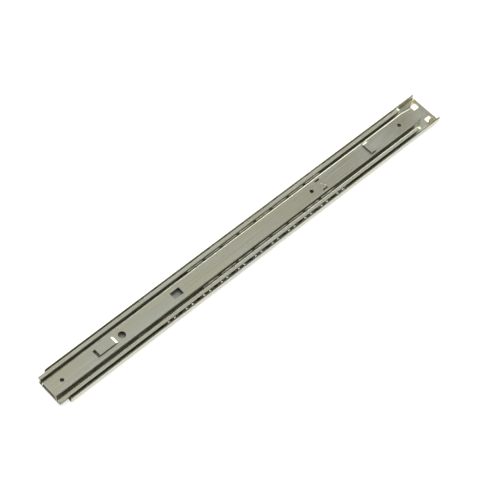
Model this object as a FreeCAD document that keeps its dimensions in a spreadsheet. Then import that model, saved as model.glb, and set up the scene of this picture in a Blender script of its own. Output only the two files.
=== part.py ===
"""Three-section ball-bearing drawer slide, 22 inch class, partly drawn out.

The part lies on the back of its cabinet member. X runs along the slide with the drawer's front at +X, Y runs
across the section and Z points from the cabinet side to the drawer side. The origin is the middle of the
cabinet member's back face. Every sheet member is modelled from its own front end towards -X.
"""
import FreeCAD, Part
import math
import os
import Sketcher

Vector = FreeCAD.Vector

# name: (millimetres, degrees or a count, what it is)
SIZES = {
    "slide_length": (558.8, "cabinet member, end to end"),
    "section_width": (45.7, "over the cabinet member's flanges"),
    "section_depth": (12.7, "cabinet face to drawer face"),
    "sheet": (1.2, "thickness of all three rolled members"),
    "drawn_out": (11.5, "how far the two inner members stand out of the cabinet member"),
    "intermediate_length": (538.8, "intermediate member, end to end"),
    "drawer_length": (548.8, "drawer member, end to end"),
    "outer_ball": (4.76, "diameter of an outer row's ball"),
    "inner_ball": (3.97, "diameter of an inner row's ball"),
    "ball_play": (0.1, "gap between a ball and its race"),
    "outer_ball_height": (8.35, "outer ball centres above the back face"),
    "race_lean": (32.0, "angle of the line from an inner to an outer ball's centre"),
    "lip_wrap": (55.0, "how far the cabinet lip wraps over its balls"),
    "heel_wrap": (38.0, "how far the cabinet flange wraps under its balls"),
    "cabinet_bend": (1.6, "middle radius of the cabinet member's corner"),
    "heel_bend": (1.0, "middle radius of the step below the cabinet race"),
    "flange_cutback": (2.5, "cabinet flanges stop short of the web at the rear"),
    "tab_window": (8.6, "length and width of the rear stop tab's window"),
    "tab_setback": (4.0, "rear end of the web to the window"),
    "tab_gap": (15.8, "between the two rear windows"),
    "tab_height": (8.0, "rear stop tab above the back face"),
    "tab_bend": (1.0, "middle radius of the stop tab's bend"),
    "screw_hole": (4.6, "cabinet screw hole"),
    "screw_setback": (37.0, "front end to the first cabinet screw hole"),
    "system_pitch": (32.0, "pitch of the cabinet side's row of holes"),
    "stop_button": (4.0, "diameter of a pressed stop button"),
    "stop_rise": (0.55, "height of a pressed stop button"),
    "cabinet_stop_setback": (5.4, "front end to the cabinet's stop buttons"),
    "cabinet_stop_offset": (9.0, "middle line to the cabinet's stop buttons"),
    "intermediate_stop_setback": (50.3, "front end to the intermediate's stop buttons"),
    "intermediate_stop_offset": (6.0, "middle line to the intermediate's stop buttons"),
    "driver_hole": (10.0, "screwdriver access hole in the intermediate web"),
    "wall_bend": (1.0, "middle radius of the bend above the intermediate's inner race"),
    "lip_bend": (0.7, "middle radius of the bend up to the intermediate's lip"),
    "lip_inner": (14.3, "middle line to the inner side of the intermediate's upper wall"),
    "lip_edge": (18.9, "middle line to the cut edge of the intermediate's lip"),
    "crimp": (3.0, "length of the turned-down end of the intermediate's lips"),
    "crimp_drop": (1.5, "how far those lip ends turn down"),
    "drawer_width": (22.6, "drawer member over its flanges"),
    "drawer_bend": (1.2, "middle radius of the drawer member's corner"),
    "neck_bend": (1.5, "middle radius of the hollow above the drawer race"),
    "nose_bend": (1.2, "middle radius of the nose above the drawer race"),
    "nose_wrap": (20.0, "how far the drawer race wraps over its balls"),
    "toe_wrap": (23.0, "how far the drawer race wraps under its balls"),
    "taper": (13.5, "length of the drawer member's narrowed rear end"),
    "taper_inset": (1.8, "how far each flange comes in at the rear end"),
    "drawer_hole": (4.7, "drawer member screw hole"),
    "front_hole_setback": (17.0, "front end to the front screw hole"),
    "middle_hole_setback": (378.3, "front end to the middle screw hole"),
    "rear_hole_setback": (520.9, "front end to the rear screw hole"),
    "access_hole": (8.6, "driver access hole in the drawer web"),
    "access_setback": (98.0, "front end to the access hole"),
    "window_length": (12.7, "rectangular window in the drawer web, along"),
    "window_width": (9.2, "rectangular window in the drawer web, across"),
    "window_setback": (175.1, "front end to the window's middle"),
    "tongue_setback": (61.9, "front end to the tongue's window"),
    "tongue_window": (27.2, "length of the tongue's window"),
    "tongue_width": (9.0, "hook tongue, across"),
    "tongue_gap": (2.6, "free end of the tongue to its window's front edge"),
    "tongue_slit": (0.5, "each side of the tongue"),
    "tongue_rise": (2.2, "tongue above the web"),
    "hook_bend": (1.2, "middle radius of the tongue's and the bridge's bends"),
    "hook_slope": (42.0, "slope of the tongue's and the bridge's ramps"),
    "bridge_setback": (467.4, "front end to the bridge"),
    "bridge_length": (6.8, "bridge, along the slide"),
    "bridge_span": (18.0, "bridge, across, foot to foot"),
    "bridge_rise": (1.8, "bridge above the web"),
    "slot_length": (6.2, "short slots in the drawer web, along"),
    "slot_width": (1.9, "short slots in the drawer web, across"),
    "slot_setback": (393.0, "front end to the short slots' middle"),
    "slot_offset": (6.8, "middle line to the short slots"),
    "button": (7.0, "diameter of the pressed button between the short slots"),
    "button_rise": (0.4, "height of that button"),
    "button_offset": (3.2, "middle line to that button, towards the left flange"),
    "window_pitch": (8.46667, "pitch of the cage windows, a third of an inch"),
    "window_play": (0.15, "cage window around its ball, on each side"),
    "cage_end": (7.0, "end of a cage to its first window"),
    "outer_cage_sheet": (0.5, "thickness of the outer cage"),
    "outer_cage_floor": (1.35, "outer cage web above the back face"),
    "outer_cage_bend": (1.2, "middle radius of the outer cage's corner"),
    "outer_cage_inset": (0.22, "outer cage's arm inside its balls' centres"),
    "outer_cage_brow": (0.8, "middle radius at the top of the outer cage's arm"),
    "outer_cage_arm_top": (9.7, "height at which the outer cage's arm leans out"),
    "outer_cage_lean": (50.0, "how far the top of the outer arm leans out"),
    "outer_cage_tip": (0.8, "straight tip of the outer cage's arm"),
    "outer_cage_windows": (32, "windows along each side of the outer cage"),
    "outer_cage_setback": (127.7, "cabinet front end to the outer cage"),
    "inner_cage_sheet": (0.45, "thickness of the inner cage"),
    "inner_cage_gap": (0.155, "inner cage web above the intermediate web"),
    "inner_cage_bend": (0.6, "middle radius of the inner cage's corner"),
    "inner_cage_inset": (0.33, "inner cage's arm inside its balls' centres"),
    "inner_cage_brow": (0.5, "middle radius of the bends in the inner cage's arm"),
    "inner_cage_arm_top": (7.5, "height at which the inner cage's arm leans in"),
    "inner_cage_lean": (9.0, "how far the inner cage's arm leans in"),
    "inner_cage_top": (11.9, "flat top of the inner cage above the back face"),
    "inner_cage_tip": (0.4, "flat top of the inner cage's arm, across"),
    "inner_cage_windows": (23, "windows along each side of the inner cage"),
    "inner_cage_setback": (190.6, "cabinet front end to the inner cage"),
    "window_reach": (3.2, "thickness that a cage window's cut goes through, about the balls' centres"),
    "notch_reach": (4.4, "the same for an inner cage window that is open at the top"),
}

BALLS_PER_GROUP = 2
WINDOWS_PER_GROUP = 3
CABINET_SCREW_STEPS = (0, 3, 7, 11, 15)
DRIVER_HOLE_STEPS = (3, 7, 11)
SIDES = {"left": 1, "right": -1}
ON_ORIGIN = 1e-9  # a coordinate closer to zero than this lies on the axis

# Places worked out from the sheet's cells, as expressions.
OUTER_BALL_Y = "(Sizes.section_width / 2 - Sizes.sheet - Sizes.ball_play - Sizes.outer_ball / 2)"
OUTER_RACE = "(Sizes.outer_ball / 2 + Sizes.ball_play + Sizes.sheet / 2)"
INNER_RACE = "(Sizes.inner_ball / 2 + Sizes.ball_play + Sizes.sheet / 2)"
INNER_BALL_Y = f"({OUTER_BALL_Y} - ({OUTER_RACE} + {INNER_RACE}) * cos(Sizes.race_lean * 1deg))"
INNER_BALL_Z = (
    f"(Sizes.outer_ball_height - ({OUTER_RACE} + {INNER_RACE}) * sin(Sizes.race_lean * 1deg))"
)
LIP_Z = f"(Sizes.outer_ball_height + {OUTER_RACE})"
LIP_FLAT = "(Sizes.lip_inner + Sizes.sheet / 2 + Sizes.lip_bend)"
CABINET_FRONT = "Sizes.slide_length / 2"
DRAWN_FRONT = "Sizes.slide_length / 2 + Sizes.drawn_out"

doc = FreeCAD.newDocument("DrawerSlide")


def make_sheet():
    """The spreadsheet of driving dimensions."""
    sheet = doc.addObject("Spreadsheet::Sheet", "Sizes")
    for row, (alias, (value, meaning)) in enumerate(SIZES.items(), start=1):
        sheet.set(f"A{row}", meaning)
        sheet.set(f"B{row}", str(value))
        sheet.setAlias(f"B{row}", alias)
    doc.recompute()
    return sheet


sizes = make_sheet()


def measure(expression):
    """The number that an expression on the sheet's cells stands for."""
    return float(sizes.evalExpression(str(expression)))


def cell(alias):
    return measure(f"Sizes.{alias}")


# ---- bodies and sketches -------------------------------------------------------------------------


def new_body(label, front):
    """A body with its own label, whose front end stands at the expression front on the X axis."""
    body = doc.addObject("PartDesign::Body", label)
    body.Label = label
    body.setExpression(".Placement.Base.x", front)
    return body


def origin_feature(body, role):
    return next(f for f in body.Origin.OriginFeatures if f.Role == role)


def new_sketch(body, name, plane, offset="0"):
    """A sketch on one of the body's origin planes, moved along the plane's normal by an expression."""
    sketch = body.newObject("Sketcher::SketchObject", name)
    sketch.AttachmentSupport = [(origin_feature(body, plane), "")]
    sketch.MapMode = "FlatFace"
    sketch.setExpression(".AttachmentOffset.Base.z", offset)
    return sketch


def add_solid(body, kind, name, sketch, length="1", side="One side", reverse=False, through=False):
    """A Pad or a Pocket of one sketch."""
    feature = body.newObject(f"PartDesign::{kind}", name)
    feature.Profile = sketch
    feature.SideType = side
    feature.Reversed = reverse
    if through:
        feature.Type = "ThroughAll"
    else:
        feature.setExpression("Length", length)
    return feature


def bind(sketch, kind, points, expression):
    """A dimension of the sketch that follows the sheet."""
    index = sketch.addConstraint(Sketcher.Constraint(kind, *points, measure(expression)))
    sketch.setExpression(f"Constraints[{index}]", expression)


def bind_place(sketch, kind, axis, point, expression):
    """One coordinate of a point, measured from the sketch's origin in the direction that is positive."""
    value = measure(expression)
    origin = (-1, 1)
    if abs(value) < ON_ORIGIN:
        sketch.addConstraint(Sketcher.Constraint("PointOnObject", *point, axis))
    elif value > 0:
        bind(sketch, kind, (*origin, *point), expression)
    else:
        bind(sketch, kind, (*point, *origin), f"-({expression})")


def bind_point(sketch, point, across, along):
    bind_place(sketch, "DistanceX", -2, point, across)
    bind_place(sketch, "DistanceY", -1, point, along)


def add_circle(sketch, x, y, diameter):
    centre = Vector(measure(x), measure(y), 0)
    circle = sketch.addGeometry(Part.Circle(centre, Vector(0, 0, 1), measure(diameter) / 2))
    bind(sketch, "Diameter", (circle,), diameter)
    bind_point(sketch, (circle, 3), x, y)


def add_rectangle(sketch, x_low, x_high, y_low, y_high):
    """A rectangle whose two opposite corners follow the sheet."""
    x0, x1, y0, y1 = (measure(e) for e in (x_low, x_high, y_low, y_high))
    corners = [Vector(x0, y0, 0), Vector(x1, y0, 0), Vector(x1, y1, 0), Vector(x0, y1, 0)]
    lines = [
        sketch.addGeometry(Part.LineSegment(corners[i], corners[(i + 1) % 4])) for i in range(4)
    ]
    for i in range(4):
        sketch.addConstraint(Sketcher.Constraint("Coincident", lines[i], 2, lines[(i + 1) % 4], 1))
        sketch.addConstraint(Sketcher.Constraint(("Horizontal", "Vertical")[i % 2], lines[i]))
    bind_point(sketch, (lines[0], 1), x_low, y_low)
    bind_point(sketch, (lines[2], 1), x_high, y_high)


def add_window(sketch, x, z, diameter, top):
    """A ball's window: a half circle below the ball's centre, open upwards as far as top."""
    x0, z0, radius, z1 = measure(x), measure(z), measure(diameter) / 2, measure(top)
    circle = Part.Circle(Vector(x0, z0, 0), Vector(0, 0, 1), radius)
    left, right = Vector(x0 - radius, z0, 0), Vector(x0 + radius, z0, 0)
    rise = Vector(0, z1 - z0, 0)
    arc = sketch.addGeometry(Part.ArcOfCircle(circle, math.pi, 2 * math.pi))
    up = sketch.addGeometry(Part.LineSegment(right, right + rise))
    over = sketch.addGeometry(Part.LineSegment(right + rise, left + rise))
    down = sketch.addGeometry(Part.LineSegment(left + rise, left))
    loop = (arc, up, over, down)
    for first, second in zip(loop, loop[1:] + loop[:1]):
        sketch.addConstraint(Sketcher.Constraint("Coincident", first, 2, second, 1))
    for line, kind in ((up, "Vertical"), (over, "Horizontal"), (down, "Vertical")):
        sketch.addConstraint(Sketcher.Constraint(kind, line))
    sketch.addConstraint(Sketcher.Constraint("Horizontal", arc, 1, arc, 3))
    bind(sketch, "Radius", (arc,), f"({diameter}) / 2")
    bind_point(sketch, (arc, 3), x, z)
    bind_place(sketch, "DistanceY", -1, (over, 1), top)


# ---- bent strips ---------------------------------------------------------------------------------


def unit(degrees):
    return Vector(math.cos(math.radians(degrees)), math.sin(math.radians(degrees)), 0)


def bent_strip(start, heading, steps, thickness):
    """The two faces of a bent strip, as lists of lines and arcs.

    The middle line leaves start at heading. A step is a length, or a middle radius and a turn in degrees,
    positive to the left.
    """
    faces = {thickness / 2: [], -thickness / 2: []}
    point = start
    for step in steps:
        if isinstance(step, tuple):
            radius, turn = step
            side = math.copysign(1, turn)
            centre = point + unit(heading + 90) * radius * side
            first = heading - 90 * side
            low, high = sorted((first, first + turn))
            for offset, pieces in faces.items():
                circle = Part.Circle(centre, Vector(0, 0, 1), radius - offset * side)
                pieces.append(Part.ArcOfCircle(circle, math.radians(low), math.radians(high)))
            heading += turn
            point = centre + unit(heading - 90 * side) * radius
        else:
            end = point + unit(heading) * step
            for offset, pieces in faces.items():
                shift = unit(heading + 90) * offset
                pieces.append(Part.LineSegment(point + shift, end + shift))
            point = end
    edge = unit(heading + 90) * (thickness / 2)
    return faces[thickness / 2], faces[-thickness / 2], Part.LineSegment(point + edge, point - edge)


def mirrored(piece):
    """The same line or arc on the other side of the middle plane."""
    if isinstance(piece, Part.LineSegment):
        start, end = piece.StartPoint, piece.EndPoint
        return Part.LineSegment(Vector(-start.x, start.y, 0), Vector(-end.x, end.y, 0))
    centre = Vector(-piece.Center.x, piece.Center.y, 0)
    circle = Part.Circle(centre, Vector(0, 0, 1), piece.Radius)
    return Part.ArcOfCircle(circle, math.pi - piece.LastParameter, math.pi - piece.FirstParameter)


def add_channel(sketch, start_height, steps, thickness):
    """A channel section: a strip that leaves the middle line level and its mirror image, as one outline."""
    top, bottom, end = bent_strip(Vector(0, start_height, 0), 0, steps, thickness)
    for face in (top, bottom):
        web = face[0].EndPoint
        sketch.addGeometry(Part.LineSegment(Vector(-web.x, web.y, 0), web))
    half = top[1:] + bottom[1:] + [end]
    sketch.addGeometry(half + [mirrored(piece) for piece in half])


def add_strip(sketch, start, heading, steps, thickness):
    """An open strip's outline, closed by its two ends."""
    left, right, end = bent_strip(start, heading, steps, thickness)
    edge = unit(heading + 90) * (thickness / 2)
    sketch.addGeometry(left + right + [end, Part.LineSegment(start + edge, start - edge)])


# ---- sections ------------------------------------------------------------------------------------


def cabinet_section(sketch):
    """Web, corner, a step out under the balls, then the race and the lip round their outer side."""
    sheet, heel, lip = cell("sheet"), cell("heel_wrap"), cell("lip_wrap")
    corner, step = cell("cabinet_bend"), cell("heel_bend")
    race, ball_y, ball_z = measure(OUTER_RACE), measure(OUTER_BALL_Y), cell("outer_ball_height")
    race_start = Vector(ball_y, ball_z, 0) + unit(-heel) * race
    step_start = race_start - (unit(180 - heel) - unit(180)) * step
    steps = [
        step_start.x - corner,
        (corner, 90),
        step_start.y - corner - sheet / 2,
        (step, -heel),
        (race, heel + lip),
    ]
    add_channel(sketch, sheet / 2, steps, sheet)


def intermediate_section(sketch):
    """Web, a race round the inner balls, the upper wall, and the flat lip over the outer balls."""
    sheet, bend, lip_bend = cell("sheet"), cell("wall_bend"), cell("lip_bend")
    ball_y, ball_z, inner = measure(INNER_BALL_Y), measure(INNER_BALL_Z), measure(INNER_RACE)
    wall_y = cell("lip_inner") + sheet / 2
    wrap = math.degrees(math.acos((wall_y - ball_y + bend) / (inner + bend)))
    wall_foot = ball_z + (inner + bend) * math.sin(math.radians(wrap))
    wall_top = measure(LIP_Z) - lip_bend
    steps = [
        ball_y,
        (inner, 90 + wrap),
        (bend, -wrap),
        wall_top - wall_foot,
        (lip_bend, -90),
        cell("lip_edge") - wall_y - lip_bend,
    ]
    add_channel(sketch, ball_z - inner, steps, sheet)


def drawer_section(sketch, inset):
    """Web, corner, neck, nose and the race on the inner side of the inner balls."""
    sheet, corner = cell("sheet"), cell("drawer_bend")
    neck, nose, wrap, toe = cell("neck_bend"), cell("nose_bend"), cell("nose_wrap"), cell("toe_wrap")
    race = measure(INNER_RACE)
    flange_y = cell("drawer_width") / 2 - sheet / 2
    web_z = cell("section_depth") - sheet / 2
    race_start = Vector(measure(INNER_BALL_Y), measure(INNER_BALL_Z), 0) + unit(180 - wrap) * race
    across = neck + nose * math.cos(math.radians(wrap)) - (race_start.x - flange_y)
    swing = math.acos(across / (neck + nose))
    flare = math.degrees(swing)
    drop = neck * math.sin(swing) + nose * (math.sin(swing) + math.sin(math.radians(wrap)))
    steps = [
        flange_y - corner - inset,
        (corner, -90),
        web_z - corner - race_start.y - drop,
        (neck, flare),
        (nose, -flare - wrap),
        (race, wrap + toe),
    ]
    add_channel(sketch, web_z, steps, sheet)


def outer_cage_section(sketch):
    """Web under the intermediate member, arms through the balls' centres, tips leaning out."""
    sheet, corner, brow, lean = (cell(f"outer_cage_{n}") for n in ("sheet", "bend", "brow", "lean"))
    floor = cell("outer_cage_floor") + sheet / 2
    arm_y = measure(OUTER_BALL_Y) - cell("outer_cage_inset")
    steps = [
        arm_y - corner,
        (corner, 90),
        cell("outer_cage_arm_top") - floor - corner,
        (brow, -lean),
        cell("outer_cage_tip"),
    ]
    add_channel(sketch, floor, steps, sheet)


def inner_cage_section(sketch):
    """Web on the intermediate member, arms through the balls' centres, flat tops at the lips."""
    sheet, corner, brow, lean = (cell(f"inner_cage_{n}") for n in ("sheet", "bend", "brow", "lean"))
    web_top = measure(INNER_BALL_Z) - measure(INNER_RACE) + cell("sheet") / 2
    floor = web_top + cell("inner_cage_gap") + sheet / 2
    arm_y = measure(INNER_BALL_Y) - cell("inner_cage_inset")
    arm_top = cell("inner_cage_arm_top")
    rise = cell("inner_cage_top") - sheet / 2 - arm_top - brow
    steps = [
        arm_y - corner,
        (corner, 90),
        arm_top - floor - corner,
        (brow, lean),
        rise / math.cos(math.radians(lean)),
        (brow, 90 - lean),
        cell("inner_cage_tip"),
    ]
    add_channel(sketch, floor, steps, sheet)


# ---- features that several members share ---------------------------------------------------------


def roll_member(body, section, length):
    """The member's plain length, rolled from one section."""
    sketch = new_sketch(body, f"{body.Label}_section", "YZ_Plane")
    section(sketch)
    add_solid(body, "Pad", f"{body.Label}_length", sketch, length, reverse=True)


def press_buttons(body, name, face, places, diameter, rise):
    """Round buttons pressed up out of a web whose upper face is at the expression face."""
    raised = new_sketch(body, f"{name}_top", "XY_Plane", face)
    hollow = new_sketch(body, f"{name}_hollow", "XY_Plane", f"{face} - Sizes.sheet")
    for x, y in places:
        add_circle(raised, x, y, diameter)
        add_circle(hollow, x, y, f"{diameter} - 2 * {rise}")
    add_solid(body, "Pad", f"{name}_rise", raised, rise)
    add_solid(body, "Pocket", f"{name}_punch", hollow, rise, reverse=True)


def punch(body, name, draw):
    """Holes right through the web, drawn in one sketch."""
    sketch = new_sketch(body, f"{name}_outline", "XY_Plane")
    draw(sketch)
    add_solid(body, "Pocket", name, sketch, side="Symmetric", through=True)


# ---- cabinet member ------------------------------------------------------------------------------


def cabinet_screw_place(step):
    return f"-(Sizes.screw_setback + {step} * Sizes.system_pitch)"


def cut_back_flanges(body):
    rear = "-Sizes.slide_length"
    sketch = new_sketch(body, "cutback_outline", "XZ_Plane")
    add_rectangle(
        sketch,
        f"{rear} - Sizes.sheet",
        f"{rear} + Sizes.flange_cutback",
        "Sizes.sheet",
        "Sizes.section_depth",
    )
    add_solid(body, "Pocket", "flange_cutback", sketch, side="Symmetric", through=True)


def bend_stop_tabs(body):
    """Two tabs cut from the web and bent up along their windows' outer edges."""
    rear = "-Sizes.slide_length + Sizes.tab_setback"

    def windows(sketch):
        for side in SIDES.values():
            inner = f"{side} * Sizes.tab_gap / 2"
            outer = f"{side} * (Sizes.tab_gap / 2 + Sizes.tab_window)"
            near, far = sorted((inner, outer), key=measure)
            add_rectangle(sketch, rear, f"{rear} + Sizes.tab_window", near, far)

    punch(body, "tab_windows", windows)
    sheet, bend = cell("sheet"), cell("tab_bend")
    root = cell("tab_gap") / 2 + cell("tab_window") + sheet
    steps = [sheet, (bend, -90), cell("tab_height") - bend - sheet / 2]
    sketch = new_sketch(body, "tab_section", "YZ_Plane", rear)
    left, right, end = bent_strip(Vector(root, sheet / 2, 0), 180, steps, sheet)
    foot = Part.LineSegment(Vector(root, 0, 0), Vector(root, sheet, 0))
    tab = left + right + [end, foot]
    sketch.addGeometry(tab + [mirrored(piece) for piece in tab])
    add_solid(body, "Pad", "stop_tabs", sketch, "Sizes.tab_window")


def make_cabinet_member():
    body = new_body("cabinet_member", CABINET_FRONT)
    roll_member(body, cabinet_section, "Sizes.slide_length")
    cut_back_flanges(body)
    bend_stop_tabs(body)

    def screw_holes(sketch):
        for step in CABINET_SCREW_STEPS:
            add_circle(sketch, cabinet_screw_place(step), "0", "Sizes.screw_hole")

    punch(body, "screw_holes", screw_holes)
    places = [
        ("-Sizes.cabinet_stop_setback", f"{side} * Sizes.cabinet_stop_offset")
        for side in SIDES.values()
    ]
    press_buttons(body, "cabinet_stop", "Sizes.sheet", places, "Sizes.stop_button", "Sizes.stop_rise")
    return body


# ---- intermediate member -------------------------------------------------------------------------


def crimp_lip_ends(body):
    """Both lips end in a short piece turned down over the race, which stops the outer cage."""
    sheet, length, drop = cell("sheet"), cell("crimp"), cell("crimp_drop")
    rear = "-Sizes.intermediate_length"
    cut = new_sketch(body, "crimp_outline", "XZ_Plane")
    add_rectangle(
        cut,
        f"{rear} - Sizes.sheet",
        f"{rear} + Sizes.crimp",
        "Sizes.outer_ball_height",
        "Sizes.section_depth",
    )
    add_solid(body, "Pocket", "lip_cut", cut, side="Symmetric", through=True)
    slope = math.degrees(math.atan2(drop, length))
    start = Vector(measure(f"{rear} + Sizes.crimp") + sheet, measure(LIP_Z), 0)
    lost_in_bend = (sheet + sheet / 2) * math.sin(math.radians(slope))
    run = (length - lost_in_bend) / math.cos(math.radians(slope))
    for name, side in SIDES.items():
        middle = f"{-side} * ({LIP_FLAT} + Sizes.lip_edge) / 2"
        sketch = new_sketch(body, f"crimp_section_{name}", "XZ_Plane", middle)
        add_strip(sketch, start, 180, [sheet, (sheet, slope), run], sheet)
        width = f"Sizes.lip_edge - {LIP_FLAT}"
        add_solid(body, "Pad", f"crimp_{name}", sketch, width, side="Symmetric")


def make_intermediate_member():
    body = new_body("intermediate_member", DRAWN_FRONT)
    roll_member(body, intermediate_section, "Sizes.intermediate_length")
    crimp_lip_ends(body)

    def driver_holes(sketch):
        for step in DRIVER_HOLE_STEPS:
            add_circle(sketch, cabinet_screw_place(step), "0", "Sizes.driver_hole")

    punch(body, "driver_holes", driver_holes)
    places = [
        ("-Sizes.intermediate_stop_setback", f"{side} * Sizes.intermediate_stop_offset")
        for side in SIDES.values()
    ]
    web_top = f"({INNER_BALL_Z} - {INNER_RACE} + Sizes.sheet / 2)"
    press_buttons(body, "intermediate_stop", web_top, places, "Sizes.stop_button", "Sizes.stop_rise")
    return body


# ---- drawer member -------------------------------------------------------------------------------


def taper_rear_end(body):
    """The last stretch, lofted to a section whose flanges come in."""
    straight = "-(Sizes.drawer_length - Sizes.taper)"
    near = new_sketch(body, "taper_front_section", "YZ_Plane", straight)
    drawer_section(near, 0)
    far = new_sketch(body, "taper_rear_section", "YZ_Plane", "-Sizes.drawer_length")
    drawer_section(far, cell("taper_inset"))
    loft = body.newObject("PartDesign::AdditiveLoft", "rear_taper")
    loft.Profile = near
    loft.Sections = [far]
    loft.Ruled = True


def punch_drawer_web(sketch):
    """Screw holes, the access hole, the rectangular window and the two short slots."""
    for alias in ("front_hole_setback", "middle_hole_setback", "rear_hole_setback"):
        add_circle(sketch, f"-Sizes.{alias}", "0", "Sizes.drawer_hole")
    add_circle(sketch, "-Sizes.access_setback", "0", "Sizes.access_hole")
    middle, half = "-Sizes.window_setback", "Sizes.window_length / 2"
    add_rectangle(
        sketch,
        f"{middle} - {half}",
        f"{middle} + {half}",
        "-Sizes.window_width / 2",
        "Sizes.window_width / 2",
    )
    middle, half = "-Sizes.slot_setback", "Sizes.slot_length / 2"
    for side in SIDES.values():
        line = f"{side} * Sizes.slot_offset"
        add_rectangle(
            sketch,
            f"{middle} - {half}",
            f"{middle} + {half}",
            f"{line} - Sizes.slot_width / 2",
            f"{line} + Sizes.slot_width / 2",
        )


def ramp_steps(rise, slope, bend):
    """A smooth step up by rise: a bend, a straight ramp and the bend back."""
    straight = (rise - 2 * bend * (1 - math.cos(math.radians(slope)))) / math.sin(math.radians(slope))
    return [(bend, slope), straight, (bend, -slope)]


def raise_tongue(body):
    """The hook tongue: rooted at the rear of its window, ramped up, then level towards the front."""
    rear = "-(Sizes.tongue_setback + Sizes.tongue_window)"
    half = "(Sizes.tongue_width / 2 + Sizes.tongue_slit)"

    def window(sketch):
        add_rectangle(sketch, rear, "-Sizes.tongue_setback", f"-{half}", half)

    punch(body, "tongue_window", window)
    sheet, slope, bend = cell("sheet"), cell("hook_slope"), cell("hook_bend")
    root = Vector(measure(rear) - sheet, cell("section_depth") - sheet / 2, 0)
    ramp = ramp_steps(cell("tongue_rise"), slope, bend)
    ramp_run = ramp[1] * math.cos(math.radians(slope)) + 2 * bend * math.sin(math.radians(slope))
    level = cell("tongue_window") - cell("tongue_gap") - ramp_run
    sketch = new_sketch(body, "tongue_section", "XZ_Plane")
    add_strip(sketch, root, 0, [sheet, *ramp, level], sheet)
    add_solid(body, "Pad", "tongue", sketch, "Sizes.tongue_width", side="Symmetric")


def raise_bridge(body):
    """The bridge: a strap across the web between two cuts, raised in the middle."""
    rear = "-(Sizes.bridge_setback + Sizes.bridge_length)"

    def window(sketch):
        add_rectangle(
            sketch, rear, "-Sizes.bridge_setback", "-Sizes.bridge_span / 2", "Sizes.bridge_span / 2"
        )

    punch(body, "bridge_window", window)
    sheet, slope, bend = cell("sheet"), cell("hook_slope"), cell("hook_bend")
    up = ramp_steps(cell("bridge_rise"), slope, bend)
    ramp_run = up[1] * math.cos(math.radians(slope)) + 2 * bend * math.sin(math.radians(slope))
    down = [(bend, -slope), up[1], (bend, slope)]
    start = Vector(-cell("bridge_span") / 2 - sheet, cell("section_depth") - sheet / 2, 0)
    level = cell("bridge_span") - 2 * ramp_run
    sketch = new_sketch(body, "bridge_section", "YZ_Plane", rear)
    add_strip(sketch, start, 0, [sheet, *up, level, *down, sheet], sheet)
    add_solid(body, "Pad", "bridge", sketch, "Sizes.bridge_length")


def make_drawer_member():
    body = new_body("drawer_member", DRAWN_FRONT)
    roll_member(body, lambda sketch: drawer_section(sketch, 0), "Sizes.drawer_length - Sizes.taper")
    taper_rear_end(body)
    punch(body, "web_openings", punch_drawer_web)
    raise_tongue(body)
    raise_bridge(body)
    places = [("-Sizes.slot_setback", "Sizes.button_offset")]
    press_buttons(body, "button", "Sizes.section_depth", places, "Sizes.button", "Sizes.button_rise")
    return body


# ---- ball cages and balls ------------------------------------------------------------------------


def cut_windows(body, label, first, windows, reach, step, count):
    """A row of windows along both arms of a cage, each open upwards as far as top."""
    name, ball_y, ball_z, top = windows
    diameter = f"(Sizes.{name}_ball + 2 * Sizes.window_play)"
    cuts = []
    for side_name, side in SIDES.items():
        part = f"{name}_{label}_{side_name}"
        sketch = new_sketch(body, f"{part}_outline", "XZ_Plane", f"{-side} * {ball_y}")
        add_window(sketch, first, ball_z, diameter, top)
        cuts.append(add_solid(body, "Pocket", part, sketch, reach, side="Symmetric"))
    row = body.newObject("PartDesign::LinearPattern", f"{name}_{label}_row")
    row.Originals = cuts
    row.Direction = (origin_feature(body, "X_Axis"), [""])
    row.Reversed = True
    row.Mode = "Spacing"
    row.setExpression("Offset", f"{step} * Sizes.window_pitch")
    row.Occurrences = count
    body.Tip = row


def make_cage(name, section, ball_y, ball_z, top):
    """A cage of one sheet, with a window for each ball and one empty window after every two."""
    body = new_body(f"{name}_ball_cage", f"{CABINET_FRONT} - Sizes.{name}_cage_setback")
    windows = int(cell(f"{name}_cage_windows"))
    length = f"2 * Sizes.cage_end + (Sizes.{name}_cage_windows - 1) * Sizes.window_pitch"
    roll_member(body, section, length)
    every = (name, ball_y, ball_z, top)
    cut_windows(body, "window", "-Sizes.cage_end", every, "Sizes.window_reach", 1, windows)
    return body


def open_empty_windows(body, name, ball_y, ball_z):
    """The windows without a ball are open at the top, through the arm's flat top as well."""
    first = f"-(Sizes.cage_end + {BALLS_PER_GROUP} * Sizes.window_pitch)"
    empty = (name, ball_y, ball_z, "Sizes.section_depth")
    count = int(cell(f"{name}_cage_windows")) // WINDOWS_PER_GROUP
    cut_windows(body, "notch", first, empty, "Sizes.notch_reach", WINDOWS_PER_GROUP, count)


def make_balls(name, ball_y, ball_z):
    """The balls of one cage, two to a group, each group with a name of its own."""
    groups = []
    count = (int(cell(f"{name}_cage_windows")) + 1) // WINDOWS_PER_GROUP
    for side_name, side in SIDES.items():
        for group in range(count):
            label = f"{name}_balls_{side_name}_{group + 1:02d}"
            balls = []
            for place in range(BALLS_PER_GROUP):
                ball = doc.addObject("Part::Sphere", f"{label}_{place + 1}")
                ball.setExpression("Radius", f"Sizes.{name}_ball / 2")
                window = group * WINDOWS_PER_GROUP + place
                first = f"{CABINET_FRONT} - Sizes.{name}_cage_setback - Sizes.cage_end"
                ball.setExpression(".Placement.Base.x", f"{first} - {window} * Sizes.window_pitch")
                ball.setExpression(".Placement.Base.y", f"{side} * {ball_y}")
                ball.setExpression(".Placement.Base.z", ball_z)
                balls.append(ball)
            pair = doc.addObject("Part::MultiFuse", label)
            pair.Label = label
            pair.Shapes = balls
            groups.append(pair)
    return groups


# ---- the whole slide -----------------------------------------------------------------------------


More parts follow.
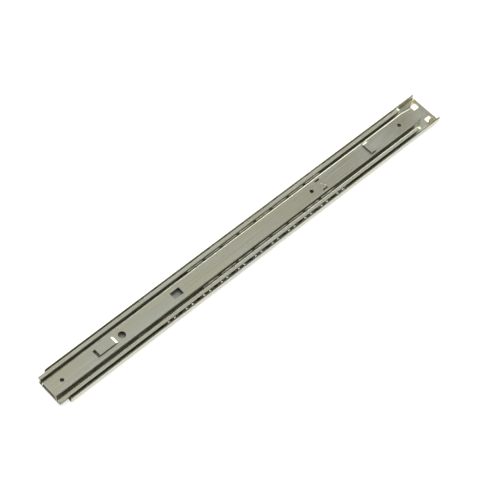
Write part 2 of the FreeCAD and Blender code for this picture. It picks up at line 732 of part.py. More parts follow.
def check(subparts):
    """Stops unless every object is sound and every sub-part is a valid shape."""
    for item in doc.Objects:
        if {"Invalid", "Error"} & set(item.State):
            raise RuntimeError(f"{item.Name} failed: {item.State}")
    for item in subparts:
        if item.Shape.isNull() or not item.Shape.isValid():
            raise RuntimeError(f"{item.Label} has no valid shape")


def main():
    outer = (OUTER_BALL_Y, "Sizes.outer_ball_height")
    inner = (INNER_BALL_Y, INNER_BALL_Z)
    inner_cage = make_cage("inner", inner_cage_section, *inner, "Sizes.inner_cage_arm_top")
    open_empty_windows(inner_cage, "inner", *inner)
    subparts = [
        make_cabinet_member(),
        make_intermediate_member(),
        make_drawer_member(),
        make_cage("outer", outer_cage_section, *outer, "Sizes.section_depth"),
        inner_cage,
        *make_balls("outer", *outer),
        *make_balls("inner", *inner),
    ]
    doc.recompute()
    check(subparts)
    os.makedirs("parts", exist_ok=True)
    for item in subparts:
        item.Shape.exportStep(f"parts/{item.Label}.step")
        box = item.Shape.BoundBox
        spans = ((box.XMin, box.XMax), (box.YMin, box.YMax), (box.ZMin, box.ZMax))
        print(item.Label, len(item.Shape.Solids), round(item.Shape.Volume), spans)


main()
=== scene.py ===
"""Ball-bearing drawer slide: finishes, edges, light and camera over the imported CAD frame."""

import math

import bpy
from mathutils import Matrix, Vector


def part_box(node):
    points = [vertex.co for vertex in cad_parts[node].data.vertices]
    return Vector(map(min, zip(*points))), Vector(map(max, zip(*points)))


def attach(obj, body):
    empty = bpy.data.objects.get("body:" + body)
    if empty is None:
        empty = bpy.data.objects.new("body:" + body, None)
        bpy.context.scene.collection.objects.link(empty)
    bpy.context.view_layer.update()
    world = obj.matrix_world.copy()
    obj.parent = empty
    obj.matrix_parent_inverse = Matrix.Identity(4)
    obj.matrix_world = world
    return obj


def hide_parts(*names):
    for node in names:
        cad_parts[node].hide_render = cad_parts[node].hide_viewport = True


bl_info = {
    "name": "Ball-Bearing Drawer Slide",
    "version": (1, 0, 0),
    "blender": (4, 5, 0),
    "location": "3D View > Sidebar > Slide",
    "description": "Finishes a full-extension drawer slide and sets up its studio",
    "category": "Object",
}

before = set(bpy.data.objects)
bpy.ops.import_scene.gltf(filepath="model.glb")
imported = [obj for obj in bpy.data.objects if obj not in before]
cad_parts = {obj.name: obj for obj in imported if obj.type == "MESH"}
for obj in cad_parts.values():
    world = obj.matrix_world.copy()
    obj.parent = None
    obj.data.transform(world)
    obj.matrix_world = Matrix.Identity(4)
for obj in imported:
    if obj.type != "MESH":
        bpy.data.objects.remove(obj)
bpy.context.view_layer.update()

MM = 0.001

# Middle of the outer balls, in millimetres from the middle line and above the back face.
BALL_LOW, BALL_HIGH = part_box("outer_balls_left_01")
OUTER_BALL_Y = (BALL_LOW.y + BALL_HIGH.y) / 2 / MM
OUTER_BALL_Z = (BALL_LOW.z + BALL_HIGH.z) / 2 / MM

# Each cage, and the start of each ball row's names, with the body it rides on.
CAGES = {"outer_ball_cage": "outer_cage", "inner_ball_cage": "inner_cage"}
BALL_ROWS = {"outer_balls_": "outer_cage", "inner_balls_": "inner_cage"}

# Material slots of a rolled member's piece.
PLATE, EDGE, TRACK, DULL = range(4)

# Where a member's flange starts, from the middle line, and where the grease and painted shade on
# it stop, above the back face, in millimetres.
CABINET_FLANGE_Y = 17.5
INTERMEDIATE_FLANGE_Y = 13.0
INTERMEDIATE_GREASE_SHADE_Z = 11.5
DRAWER_FLANGE_Y = 11.0
DRAWER_GREASE_SHADE_Z = 11.8
# The intermediate member's web and its buttons lie lower than this, in millimetres.
INNER_WEB_Z = 4.5
# A face that looks along the strip by more than this is a cut end.
CUT_END = 0.5

# Folds sharper than the first are edges to break; a ball's facets are flatter than the second.
EDGE_ANGLE = math.radians(50)
BALL_ANGLE = math.radians(60)

# The yellowed spot is full within the first distance of its middle, and gone past the second.
YELLOW_FULL = 4.5 * MM
YELLOW_GONE = 8.5 * MM
# Half the length over which the grease and its painted shade thin out at their end.
GREASE_SHADE_FADE = 3.0 * MM

# How much the clouds take from the plating's roughness, and how much they add.
CLOUD_GLOSSIER = 0.04
CLOUD_DULLER = 0.06

# Where the key light stands, and how wide it looks from the slide.
KEY_FROM = (0.1, 0.12, 0.98)
KEY_WIDTH = math.radians(30)
# The floor is just clear of the cabinet member's back face.
FLOOR_SIZE = 8.0
FLOOR_Z = -0.3 * MM

# The soft patches of light round the slide: colour, direction, how near to that direction a ray
# comes where the patch starts and where it is full, as a cosine, and strength.
PATCHES = (
    ("ceiling", (-0.07, -0.28, 0.95), 0.85, 0.945, 1.0),
    ("screen", (-0.66, 0.2, 0.72), 0.93, 0.965, 1.1),
    ("screen", (-0.88, -0.47, -0.05), 0.68, 0.735, 4.6),
)


def linear(value):
    """One sRGB channel, 0 to 1, as linear light."""
    if value <= 0.04045:
        return value / 12.92
    return ((value + 0.055) / 1.055) ** 2.4


def colour(code):
    """An sRGB hex code such as "A0B1C2" as linear RGBA."""
    channels = [int(code[i : i + 2], 16) / 255 for i in (0, 2, 4)]
    return (*[linear(c) for c in channels], 1.0)


def add_node(tree, kind, settings=None, values=None, links=None):
    """Adds a node, with its settings, the values of its sockets and the links into them."""
    made = tree.nodes.new(kind)
    for name, value in (settings or {}).items():
        setattr(made, name, value)
    for name, value in (values or {}).items():
        made.inputs[name].default_value = value
    for name, source in (links or {}).items():
        tree.links.new(source, made.inputs[name])
    return made


def per_metre(*sizes):
    """How many times patterns of these sizes, in millimetres, repeat in a metre."""
    return tuple(1.0 / (size * MM) for size in sizes)


def new_material(name):
    """An empty node material and its tree."""
    material = bpy.data.materials.new(name)
    material.use_nodes = True
    material.node_tree.nodes.clear()
    return material, material.node_tree


def zinc_plated_steel(finish, name, gloss):
    """Cold-rolled strip, electroplated with zinc and passivated. Rolling leaves fine lines along
    the strip, and the passivation clouds it with faint yellow and blue."""
    material, tree = new_material(name)
    place = add_node(tree, "ShaderNodeTexCoord").outputs["Object"]
    # Passivation clouds are about 18 mm across and drawn out along the strip.
    cloud_place = add_node(
        tree,
        "ShaderNodeMapping",
        values={"Scale": per_metre(71.4, 18.2, 18.2)},
        links={"Vector": place},
    ).outputs["Vector"]
    clouds = add_node(
        tree,
        "ShaderNodeTexNoise",
        values={"Scale": 1.0, "Detail": 3.0, "Roughness": 0.55},
        links={"Vector": cloud_place},
    ).outputs["Fac"]
    # Rolling lines are about 0.1 mm apart; they are drawn 1.2 mm apart so that they show.
    line_place = add_node(
        tree,
        "ShaderNodeMapping",
        values={"Scale": per_metre(111.1, 1.205, 1.205)},
        links={"Vector": place},
    ).outputs["Vector"]
    lines = add_node(
        tree,
        "ShaderNodeTexNoise",
        values={"Scale": 1.0, "Detail": 4.0, "Roughness": 0.6},
        links={"Vector": line_place},
    ).outputs["Fac"]
    tint_share = add_node(
        tree,
        "ShaderNodeMapRange",
        {"interpolation_type": "SMOOTHSTEP"},
        values={"From Min": 0.38, "From Max": 0.66},
        links={"Value": clouds},
    ).outputs["Result"]
    tinted = add_node(
        tree,
        "ShaderNodeMix",
        {"data_type": "RGBA"},
        values={6: tuple(finish.zinc_warm), 7: tuple(finish.zinc_cool)},
        links={0: tint_share},
    ).outputs[2]
    line_share = add_node(
        tree,
        "ShaderNodeMapRange",
        values={"From Min": 0.3, "From Max": 0.7, "To Min": 0.9, "To Max": 1.06},
        links={"Value": lines},
    ).outputs["Result"]
    base = add_node(
        tree,
        "ShaderNodeMix",
        {"data_type": "RGBA", "blend_type": "MULTIPLY"},
        values={0: 1.0},
        links={6: tinted, 7: line_share},
    ).outputs[2]
    roughness = add_node(
        tree,
        "ShaderNodeMapRange",
        values={
            "From Min": 0.3,
            "From Max": 0.7,
            "To Min": gloss - CLOUD_GLOSSIER,
            "To Max": gloss + CLOUD_DULLER,
        },
        links={"Value": clouds},
    ).outputs["Result"]
    bump = add_node(
        tree,
        "ShaderNodeBump",
        values={"Strength": 0.12, "Distance": 0.05 * MM},
        links={"Height": lines},
    ).outputs["Normal"]
    # The passivation is yellow round the two rear corner tabs, where the bath drained off the
    # hung strip.
    axes = add_node(tree, "ShaderNodeSeparateXYZ", links={"Vector": place}).outputs
    aside = add_node(
        tree, "ShaderNodeMath", {"operation": "ABSOLUTE"}, links={0: axes["Y"]}
    ).outputs["Value"]
    one_side = add_node(
        tree, "ShaderNodeCombineXYZ", links={"X": axes["X"], "Y": aside, "Z": axes["Z"]}
    ).outputs["Vector"]
    from_tab = add_node(
        tree,
        "ShaderNodeVectorMath",
        {"operation": "DISTANCE"},
        values={1: tuple(finish.yellow_middle)},
        links={0: one_side},
    ).outputs["Value"]
    drained = add_node(
        tree,
        "ShaderNodeMapRange",
        {"interpolation_type": "SMOOTHSTEP"},
        values={"From Min": YELLOW_GONE, "From Max": YELLOW_FULL, "To Max": 0.8},
        links={"Value": from_tab},
    ).outputs["Result"]
    plate = add_node(
        tree,
        "ShaderNodeMix",
        {"data_type": "RGBA"},
        values={7: tuple(finish.yellowed)},
        links={0: drained, 6: base},
    ).outputs[2]
    shader = add_node(
        tree,
        "ShaderNodeBsdfPrincipled",
        values={"Metallic": finish.zinc_metal},
        links={"Base Color": plate, "Roughness": roughness, "Normal": bump},
    )
    add_node(tree, "ShaderNodeOutputMaterial", links={"Surface": shader.outputs["BSDF"]})
    return material


def greased_track_steel(finish):
    """The same strip where the balls run, under a thin film of grease. The film, with painted
    shade for the deep grooves between the members, darkens the track to olive; it ends short of
    the rear, where no ball comes."""
    material, tree = new_material("greased_track_steel")
    place = add_node(tree, "ShaderNodeTexCoord").outputs["Object"]
    # The balls draw the grease out along the track, into smears about 15 mm long.
    smear_place = add_node(
        tree,
        "ShaderNodeMapping",
        values={"Scale": per_metre(16.7, 2.0, 2.0)},
        links={"Vector": place},
    ).outputs["Vector"]
    smears = add_node(
        tree,
        "ShaderNodeTexNoise",
        values={"Scale": 1.0, "Detail": 3.0},
        links={"Vector": smear_place},
    ).outputs["Fac"]
    share = add_node(
        tree,
        "ShaderNodeMapRange",
        {"interpolation_type": "SMOOTHSTEP"},
        values={"From Min": 0.35, "From Max": 0.7},
        links={"Value": smears},
    ).outputs["Result"]
    # Painted shade: these track colours are darker than the zinc partly for the grease and partly
    # for the shade deep in the grooves.
    grease = add_node(
        tree,
        "ShaderNodeMix",
        {"data_type": "RGBA"},
        values={6: tuple(finish.grease_and_shade_thick), 7: tuple(finish.grease_and_shade_thin)},
        links={0: share},
    ).outputs[2]
    along = add_node(tree, "ShaderNodeSeparateXYZ", links={"Vector": place}).outputs["X"]
    clean = add_node(
        tree,
        "ShaderNodeMapRange",
        values={
            "From Min": finish.grease_shade_end + GREASE_SHADE_FADE,
            "From Max": finish.grease_shade_end - GREASE_SHADE_FADE,
        },
        links={"Value": along},
    ).outputs["Result"]
    base = add_node(
        tree,
        "ShaderNodeMix",
        {"data_type": "RGBA"},
        values={7: tuple(finish.zinc_warm)},
        links={0: clean, 6: grease},
    ).outputs[2]
    metal = add_node(
        tree,
        "ShaderNodeMapRange",
        values={"To Min": finish.grease_metal, "To Max": 1.0},
        links={"Value": clean},
    ).outputs["Result"]
    roughness = add_node(
        tree,
        "ShaderNodeMapRange",
        values={"From Min": 0.3, "From Max": 0.7, "To Min": 0.36, "To Max": 0.48},
        links={"Value": smears},
    ).outputs["Result"]
    shader = add_node(
        tree,
        "ShaderNodeBsdfPrincipled",
        links={"Base Color": base, "Roughness": roughness, "Metallic": metal},
    )
    add_node(tree, "ShaderNodeOutputMaterial", links={"Surface": shader.outputs["BSDF"]})
    return material


def sheared_steel_edge(finish):
    """The cut edge of plated strip, burnished by the press tool, so it is brighter than the
    faces and has fine marks across it."""
    material, tree = new_material("sheared_steel_edge")
    place = add_node(tree, "ShaderNodeTexCoord").outputs["Object"]
    # The tool's marks are about 0.2 mm apart; they are drawn 1.4 mm apart so that they show.
    marks = add_node(
        tree,
        "ShaderNodeTexNoise",
        values={"Scale": per_metre(1.43)[0], "Detail": 2.0},
        links={"Vector": place},
    ).outputs["Fac"]
    base = add_node(
        tree,
        "ShaderNodeMix",
        {"data_type": "RGBA"},
        values={6: tuple(finish.edge_dark), 7: tuple(finish.edge_light)},
        links={0: marks},
    ).outputs[2]
    roughness = add_node(
        tree,
        "ShaderNodeMapRange",
        values={"From Min": 0.3, "From Max": 0.7, "To Min": 0.25, "To Max": 0.4},
        links={"Value": marks},
    ).outputs["Result"]
    shader = add_node(
        tree,
        "ShaderNodeBsdfPrincipled",
        values={"Metallic": 1.0},
        links={"Base Color": base, "Roughness": roughness},
    )
    add_node(tree, "ShaderNodeOutputMaterial", links={"Surface": shader.outputs["BSDF"]})
    return material


def cage_steel(finish):
    """Thin bright strip, pressed into a cage and left with a film of grease, which darkens it
    in patches."""
    material, tree = new_material("greased_cage_steel")
    place = add_node(tree, "ShaderNodeTexCoord").outputs["Object"]
    # The patches are about 6 mm across, a little wider than a ball.
    patches = add_node(
        tree,
        "ShaderNodeTexNoise",
        values={"Scale": per_metre(6.25)[0], "Detail": 3.0},
        links={"Vector": place},
    ).outputs["Fac"]
    share = add_node(
        tree,
        "ShaderNodeMapRange",
        {"interpolation_type": "SMOOTHSTEP"},
        values={"From Min": 0.35, "From Max": 0.65},
        links={"Value": patches},
    ).outputs["Result"]
    base = add_node(
        tree,
        "ShaderNodeMix",
        {"data_type": "RGBA"},
        values={6: tuple(finish.cage_dark), 7: tuple(finish.cage_light)},
        links={0: share},
    ).outputs[2]
    roughness = add_node(
        tree,
        "ShaderNodeMapRange",
        values={"From Min": 0.3, "From Max": 0.7, "To Min": 0.42, "To Max": 0.55},
        links={"Value": patches},
    ).outputs["Result"]
    shader = add_node(
        tree,
        "ShaderNodeBsdfPrincipled",
        values={"Metallic": 1.0},
        links={"Base Color": base, "Roughness": roughness},
    )
    add_node(tree, "ShaderNodeOutputMaterial", links={"Surface": shader.outputs["BSDF"]})
    return material


def polished_ball_steel(finish):
    """Hardened chrome steel, ground and lapped, so it is a dark mirror with a trace of
    grease."""
    material, tree = new_material("lapped_ball_steel")
    place = add_node(tree, "ShaderNodeTexCoord").outputs["Object"]
    # The film draws up into patches about 2 mm across, half a ball.
    film = add_node(
        tree,
        "ShaderNodeTexNoise",
        values={"Scale": per_metre(2.22)[0], "Detail": 2.0},
        links={"Vector": place},
    ).outputs["Fac"]
    base = add_node(
        tree,
        "ShaderNodeMix",
        {"data_type": "RGBA"},
        values={6: tuple(finish.ball_dark), 7: tuple(finish.ball_light)},
        links={0: film},
    ).outputs[2]
    roughness = add_node(
        tree,
        "ShaderNodeMapRange",
        values={"From Min": 0.3, "From Max": 0.7, "To Min": 0.14, "To Max": 0.26},
        links={"Value": film},
    ).outputs["Result"]
    shader = add_node(
        tree,
        "ShaderNodeBsdfPrincipled",
        values={"Metallic": 1.0},
        links={"Base Color": base, "Roughness": roughness},
    )
    add_node(tree, "ShaderNodeOutputMaterial", links={"Surface": shader.outputs["BSDF"]})
    return material


def select_only(piece):
    """Makes one object the only selected one and the active one."""
    bpy.ops.object.select_all(action="DESELECT")
    piece.select_set(True)
    bpy.context.view_layer.objects.active = piece


def whole_copy(node_name, piece_name):
    """A copy of a CAD node with its loose triangles merged into one skin."""
    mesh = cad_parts[node_name].data.copy()
    mesh.name = piece_name
    mesh.materials.clear()
    piece = bpy.data.objects.new(piece_name, mesh)
    bpy.context.scene.collection.objects.link(piece)
    select_only(piece)
    bpy.ops.mesh.customdata_custom_splitnormals_clear()
    bpy.ops.object.mode_set(mode="EDIT")
    bpy.ops.mesh.select_all(action="SELECT")
    bpy.ops.mesh.remove_doubles(threshold=0.002 * MM)
    bpy.ops.object.mode_set(mode="OBJECT")
    return piece


def soften_edges(piece, width, edge_slot):
    """Breaks the sharp edges of pressed strip and gives them the edge material."""
    select_only(piece)
    bevel = piece.modifiers.new("broken_edges", "BEVEL")
    bevel.width = width
    bevel.segments = 2
    bevel.limit_method = "ANGLE"
    bevel.angle_limit = EDGE_ANGLE
    bevel.use_clamp_overlap = True
    bevel.material = edge_slot
    bpy.ops.object.modifier_apply(modifier=bevel.name)


def smooth(piece, angle):
    """Shades the bends smooth, and keeps the flats flat and the folds and cut edges crisp."""
    select_only(piece)
    bpy.ops.object.shade_smooth_by_angle(angle=angle)
    weighted = piece.modifiers.new("flat_faces", "WEIGHTED_NORMAL")
    weighted.mode = "FACE_AREA_WITH_ANGLE"
    weighted.weight = 60
    weighted.keep_sharp = True
    bpy.ops.object.modifier_apply(modifier=weighted.name)


def assign_slot(piece, slot, wanted):
    """Gives a material slot to the faces whose centre and normal, in millimetres, are wanted."""
    for face in piece.data.polygons:
        if wanted(face.center / MM, face.normal):
            face.material_index = slot


# These masks pick the deep track faces that get the grease and its painted shade.
def cabinet_track(centre, normal):
    """The inner side of the flange, round the outer balls."""
    side = math.copysign(1.0, centre.y)
    to_balls = Vector((0.0, OUTER_BALL_Y * side - centre.y, OUTER_BALL_Z - centre.z))
    return abs(centre.y) > CABINET_FLANGE_Y and to_balls.dot(normal) > 0.0


def on_flange(centre, normal, flange_y, grease_z):
    """Whether a face lies past the flange's start, under the end of the grease and painted shade,
    and off the cut ends.
    """
    return abs(centre.y) > flange_y and centre.z < grease_z and abs(normal.x) < CUT_END


def intermediate_track(centre, normal):
    """Both sides of the flange below the lip's upper face."""
    return on_flange(centre, normal, INTERMEDIATE_FLANGE_Y, INTERMEDIATE_GREASE_SHADE_Z)


def drawer_track(centre, normal):
    """The outer side of the flange, from the bend down to the inner balls."""
    return on_flange(centre, normal, DRAWER_FLANGE_Y, DRAWER_GREASE_SHADE_Z)


def inner_web(centre, normal):
    """The intermediate member's web, which no hand or rag reaches."""
    return abs(centre.y) < INTERMEDIATE_FLANGE_Y and centre.z < INNER_WEB_Z


# Each rolled member, with the body it rides on and the faces that other slots than the plate's
# take.
MEMBERS = {
    "cabinet_member": ("cabinet", {TRACK: cabinet_track}),
    "intermediate_member": ("intermediate", {TRACK: intermediate_track, DULL: inner_web}),
    "drawer_member": ("drawer", {TRACK: drawer_track}),
}


class SlideFinish(bpy.types.PropertyGroup):
    """Colours and gloss of the slide's steel."""

    zinc_warm: bpy.props.FloatVectorProperty(
        name="Zinc, warm clouds",
        description="Passivated zinc where it leans to yellow",
        subtype="COLOR",
        size=4,
        default=colour("C5C4B5"),
    )
    zinc_cool: bpy.props.FloatVectorProperty(
        name="Zinc, cool clouds",
        description="Passivated zinc where it leans to blue",
        subtype="COLOR",
        size=4,
        default=colour("C0C2BA"),
    )
    zinc_metal: bpy.props.FloatProperty(
        name="Metal through the passivation",
        description="Share of the light that the clouded film lets through to the metal",
        subtype="FACTOR",
        default=0.8,
        min=0.0,
        max=1.0,
    )
    cabinet_roughness: bpy.props.FloatProperty(
        name="Cabinet member roughness",
        description="Micro-roughness of the cabinet member's plating",
        subtype="FACTOR",
        default=0.22,
        min=0.06,
        max=0.9,
    )
    intermediate_roughness: bpy.props.FloatProperty(
        name="Intermediate member roughness",
        description="Micro-roughness of the intermediate member's plating",
        subtype="FACTOR",
        default=0.26,
        min=0.06,
        max=0.9,
    )
    drawer_roughness: bpy.props.FloatProperty(
        name="Drawer member roughness",
        description="Micro-roughness of the drawer member's plating",
        subtype="FACTOR",
        default=0.2,
        min=0.06,
        max=0.9,
    )
    dull_roughness: bpy.props.FloatProperty(
        name="Dull plating roughness",
        description="Micro-roughness of the plating that lies under the drawer member",
        subtype="FACTOR",
        default=0.5,
        min=0.06,
        max=0.9,
    )
    # Painted shade: both track colours stand partly for real grease and partly for the shade deep
    # in the grooves between the members.
    grease_and_shade_thick: bpy.props.FloatVectorProperty(
        name="Track, thick grease",
        description="Ball track where the grease lies thick",
        subtype="COLOR",
        size=4,
        default=colour("74745F"),
    )
    grease_and_shade_thin: bpy.props.FloatVectorProperty(
        name="Track, thin grease",
        description="Ball track where the balls have wiped it",
        subtype="COLOR",
        size=4,
        default=colour("989885"),
    )
    grease_metal: bpy.props.FloatProperty(
        name="Metal through the grease",
        description="How much of the steel shows through the grease",
        subtype="FACTOR",
        default=0.6,
        min=0.0,
        max=1.0,
    )
    grease_shade_end: bpy.props.FloatProperty(
        name="End of the grease",
        description="Where the grease stops, towards the rear",
        unit="LENGTH",
        default=-244.0 * MM,
    )
    yellowed: bpy.props.FloatVectorProperty(
        name="Zinc, yellowed",
        description="Passivated zinc at the rear end, where the bath drained off",
        subtype="COLOR",
        size=4,
        default=colour("D0C497"),
    )
    yellow_middle: bpy.props.FloatVectorProperty(
        name="Middle of the yellow",
        description="Middle of the yellowed spot on the left side; the right side mirrors it",
        subtype="TRANSLATION",
        unit="LENGTH",
        default=(-271.0 * MM, 15.0 * MM, 3.0 * MM),
    )
    edge_light: bpy.props.FloatVectorProperty(
        name="Cut edge, light",
        description="Burnished part of a sheared edge",
        subtype="COLOR",
        size=4,
        default=colour("DAD9CC"),
    )
    edge_dark: bpy.props.FloatVectorProperty(
        name="Cut edge, dark",
        description="Torn part of a sheared edge",
        subtype="COLOR",
        size=4,
        default=colour("B0AFA0"),
    )
    cage_light: bpy.props.FloatVectorProperty(
        name="Cage, clean",
        description="Cage strip where the grease is thin",
        subtype="COLOR",
        size=4,
        default=colour("BDBBAD"),
    )
    cage_dark: bpy.props.FloatVectorProperty(
        name="Cage, greased",
        description="Cage strip where the grease is thick",
        subtype="COLOR",
        size=4,
        default=colour("8C8A7C"),
    )
    ball_light: bpy.props.FloatVectorProperty(
        name="Ball, clean",
        description="Lapped ball steel",
        subtype="COLOR",
        size=4,
        default=colour("B2B3B0"),
    )
    ball_dark: bpy.props.FloatVectorProperty(
        name="Ball, greased",
        description="Lapped ball steel under a film of grease",
        subtype="COLOR",
        size=4,
        default=colour("9A9A92"),
    )


class SlideEdges(bpy.types.PropertyGroup):
    """How the pressed strip's edges are broken and its bends are shaded."""

    member_break: bpy.props.FloatProperty(
        name="Member edge break",
        description="Width of the broken edge on the rolled members",
        unit="LENGTH",
        default=0.2 * MM,
    )
    cage_break: bpy.props.FloatProperty(
        name="Cage edge break",
        description="Width of the broken edge on the ball cages",
        unit="LENGTH",
        default=0.08 * MM,
    )
    crisp_angle: bpy.props.FloatProperty(
        name="Crisp angle",
        description="Folds sharper than this stay crisp",
        unit="ROTATION",
        default=math.radians(32),
    )


class SlideStage(bpy.types.PropertyGroup):
    """Floor, light and camera."""

    camera_place: bpy.props.FloatVectorProperty(
        name="Camera place",
        description="Where the camera stands",
        subtype="TRANSLATION",
        unit="LENGTH",
        default=(0.707845, 0.585139, 1.440717),
    )
    camera_forward: bpy.props.FloatVectorProperty(
        name="Camera direction",
        description="The way the camera looks",
        subtype="DIRECTION",
        default=(-0.403987, -0.344693, -0.847338),
    )
    camera_up: bpy.props.FloatVectorProperty(
        name="Camera up",
        description="The way that is up in the picture",
        subtype="DIRECTION",
        default=(-0.55217, -0.646619, 0.5263),
    )
    lens: bpy.props.FloatProperty(
        name="Lens",
        description="Focal length on a 36 mm sensor",
        unit="CAMERA",
        default=111.15,
    )
    floor_colour: bpy.props.FloatVectorProperty(
        name="Floor",
        description="Colour of the pale floor",
        subtype="COLOR",
        size=4,
        default=colour("F4F4F2"),
    )
    floor_glow: bpy.props.FloatProperty(
        name="Floor glow",
        description="How strongly the lit table under the floor shines through",
        default=0.62,
    )
    key_strength: bpy.props.FloatProperty(
        name="Key light",
        description="Strength of the soft light from overhead",
        default=1.2,
    )
    room: bpy.props.FloatVectorProperty(
        name="Dim room",
        description="Light from the unlit side of the studio",
        subtype="COLOR",
        size=4,
        default=colour("3A3A36"),
    )
    ceiling: bpy.props.FloatVectorProperty(
        name="Ceiling",
        description="Light from the ceiling, which the webs mirror",
        subtype="COLOR",
        size=4,
        default=colour("D0D0C4"),
    )
    screen: bpy.props.FloatVectorProperty(
        name="White screens",
        description="Light from the screens past the rear end, which the bends mirror",
        subtype="COLOR",
        size=4,
        default=colour("FFFFF6"),
    )


class DrawerSlide(bpy.types.PropertyGroup):
    """Everything that a user would change."""

    finish: bpy.props.PointerProperty(type=SlideFinish)
    edges: bpy.props.PointerProperty(type=SlideEdges)
    stage: bpy.props.PointerProperty(type=SlideStage)


class SLIDE_OT_members(bpy.types.Operator):
    """Finish the cabinet, intermediate and drawer members"""

    bl_idname = "slide.members"
    bl_label = "Rolled Members"

    def execute(self, context):
        slide = context.scene.drawer_slide
        edge = sheared_steel_edge(slide.finish)
        track = greased_track_steel(slide.finish)
        dull_gloss = slide.finish.dull_roughness
        dull = zinc_plated_steel(slide.finish, "dull_zinc_plated_steel", dull_gloss)
        for node_name, (body, slots) in MEMBERS.items():
            piece = whole_copy(node_name, node_name + "_plated")
            gloss = getattr(slide.finish, body + "_roughness")
            plate = zinc_plated_steel(slide.finish, f"zinc_plated_steel_{body}", gloss)
            finishes = {PLATE: plate, EDGE: edge, TRACK: track, DULL: dull}
            for slot in sorted({PLATE, EDGE, *slots}):
                piece.data.materials.append(finishes[slot])
            for slot, wanted in slots.items():
                assign_slot(piece, slot, wanted)
            soften_edges(piece, slide.edges.member_break, EDGE)
            smooth(piece, slide.edges.crisp_angle)
            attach(piece, body)
            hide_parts(node_name)
        return {"FINISHED"}


class SLIDE_OT_cages(bpy.types.Operator):
    """Finish the two ball cages"""

    bl_idname = "slide.cages"
    bl_label = "Ball Cages"

    def execute(self, context):
        slide = context.scene.drawer_slide
        strip = cage_steel(slide.finish)
        for node_name, body in CAGES.items():
            piece = whole_copy(node_name, node_name + "_pressed")
            piece.data.materials.append(strip)
            soften_edges(piece, slide.edges.cage_break, PLATE)
            smooth(piece, slide.edges.crisp_angle)
            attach(piece, body)
            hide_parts(node_name)
        return {"FINISHED"}


class SLIDE_OT_balls(bpy.types.Operator):
    """Finish the pairs of balls in the four rows"""

    bl_idname = "slide.balls"
    bl_label = "Balls"

    def execute(self, context):
        slide = context.scene.drawer_slide
        steel = polished_ball_steel(slide.finish)
        for node_name in sorted(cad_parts):
            for start, body in BALL_ROWS.items():
                if not node_name.startswith(start):
                    continue
                piece = whole_copy(node_name, node_name + "_lapped")
                piece.data.materials.append(steel)
                smooth(piece, BALL_ANGLE)
                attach(piece, body)
                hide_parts(node_name)
        return {"FINISHED"}


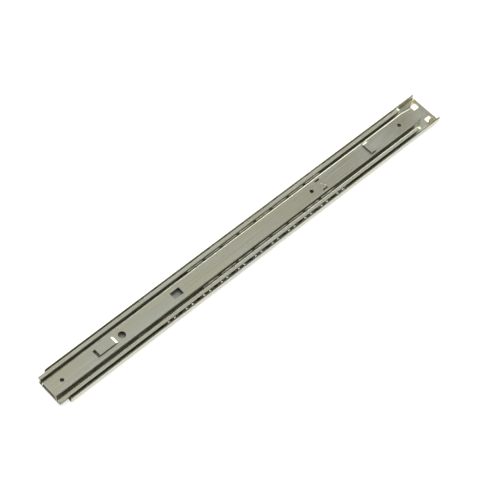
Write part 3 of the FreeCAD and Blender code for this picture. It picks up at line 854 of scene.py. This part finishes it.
class SLIDE_OT_stage(bpy.types.Operator):
    """Set up the floor, the soft studio light and the camera"""

    bl_idname = "slide.stage"
    bl_label = "Studio"

    def execute(self, context):
        stage = context.scene.drawer_slide.stage
        scene = context.scene
        scene.view_settings.view_transform = "Standard"

        bpy.ops.object.select_all(action="DESELECT")
        bpy.ops.mesh.primitive_plane_add(size=FLOOR_SIZE, location=(0.0, 0.0, FLOOR_Z))
        floor = context.object
        floor.name = "studio_floor"
        bpy.ops.object.transform_apply(location=True, rotation=True, scale=True)
        material, tree = new_material("matt_white_board")
        shader = add_node(
            tree,
            "ShaderNodeBsdfPrincipled",
            values={
                "Base Color": tuple(stage.floor_colour),
                "Roughness": 0.9,
                "Emission Color": tuple(stage.floor_colour),
                "Emission Strength": stage.floor_glow,
            },
        )
        add_node(tree, "ShaderNodeOutputMaterial", links={"Surface": shader.outputs["BSDF"]})
        floor.data.materials.append(material)

        bpy.ops.object.select_all(action="DESELECT")
        bpy.ops.object.light_add(type="SUN", location=(0.0, 0.0, 0.0))
        key = context.object
        key.name = "overhead_key"
        key.data.energy = stage.key_strength
        key.data.angle = KEY_WIDTH
        key.matrix_world = Vector(KEY_FROM).to_track_quat("Z", "Y").to_matrix().to_4x4()

        world = bpy.data.worlds.new("soft_studio")
        world.use_nodes = True
        tree = world.node_tree
        tree.nodes.clear()
        way = add_node(tree, "ShaderNodeTexCoord").outputs["Generated"]
        # Each patch is laid over what is under it, and the first over the dim room.
        under = {"values": {6: tuple(stage.room)}, "links": {}}
        for source, towards, start, full, strength in PATCHES:
            patch = [strength * channel for channel in getattr(stage, source)[:3]]
            nearness = add_node(
                tree,
                "ShaderNodeVectorMath",
                {"operation": "DOT_PRODUCT"},
                values={1: tuple(Vector(towards).normalized())},
                links={0: way},
            ).outputs["Value"]
            share = add_node(
                tree,
                "ShaderNodeMapRange",
                {"interpolation_type": "SMOOTHSTEP"},
                values={"From Min": start, "From Max": full},
                links={"Value": nearness},
            ).outputs["Result"]
            sky = add_node(
                tree,
                "ShaderNodeMix",
                {"data_type": "RGBA"},
                values={7: (*patch, 1.0), **under["values"]},
                links={0: share, **under["links"]},
            ).outputs[2]
            under = {"values": {}, "links": {6: sky}}
        light = add_node(
            tree, "ShaderNodeBackground", values={"Strength": 1.0}, links={"Color": sky}
        )
        add_node(tree, "ShaderNodeOutputWorld", links={"Surface": light.outputs["Background"]})
        scene.world = world

        forward = Vector(stage.camera_forward).normalized()
        right = forward.cross(Vector(stage.camera_up)).normalized()
        up = right.cross(forward)
        turn = Matrix((right, up, -forward)).transposed().to_4x4()
        bpy.ops.object.select_all(action="DESELECT")
        bpy.ops.object.camera_add()
        camera = context.object
        camera.name = "studio_camera"
        camera.data.lens = stage.lens
        camera.data.sensor_width = 36.0
        camera.data.clip_start = 0.01
        camera.data.clip_end = 50.0
        camera.matrix_world = Matrix.Translation(stage.camera_place) @ turn
        scene.camera = camera
        return {"FINISHED"}


class SLIDE_PT_panel(bpy.types.Panel):
    """The slide's pieces and stage"""

    bl_idname = "SLIDE_PT_panel"
    bl_label = "Drawer Slide"
    bl_space_type = "VIEW_3D"
    bl_region_type = "UI"
    bl_category = "Slide"

    def draw(self, context):
        slide = context.scene.drawer_slide
        for operator in OPERATORS:
            self.layout.operator(operator.bl_idname)
        for group in (slide.finish, slide.edges, slide.stage):
            box = self.layout.box()
            for name in group.bl_rna.properties.keys():
                if name not in {"rna_type", "name"}:
                    box.prop(group, name)


GROUPS = (SlideFinish, SlideEdges, SlideStage, DrawerSlide)
OPERATORS = (SLIDE_OT_members, SLIDE_OT_cages, SLIDE_OT_balls, SLIDE_OT_stage)


def register():
    for group in (*GROUPS, *OPERATORS, SLIDE_PT_panel):
        bpy.utils.register_class(group)
    bpy.types.Scene.drawer_slide = bpy.props.PointerProperty(type=DrawerSlide)


def unregister():
    del bpy.types.Scene.drawer_slide
    for group in (SLIDE_PT_panel, *reversed(OPERATORS), *reversed(GROUPS)):
        bpy.utils.unregister_class(group)


def main():
    register()
    bpy.ops.slide.stage()
    bpy.ops.slide.members()
    bpy.ops.slide.cages()
    bpy.ops.slide.balls()


if __name__ == "__main__":
    main()
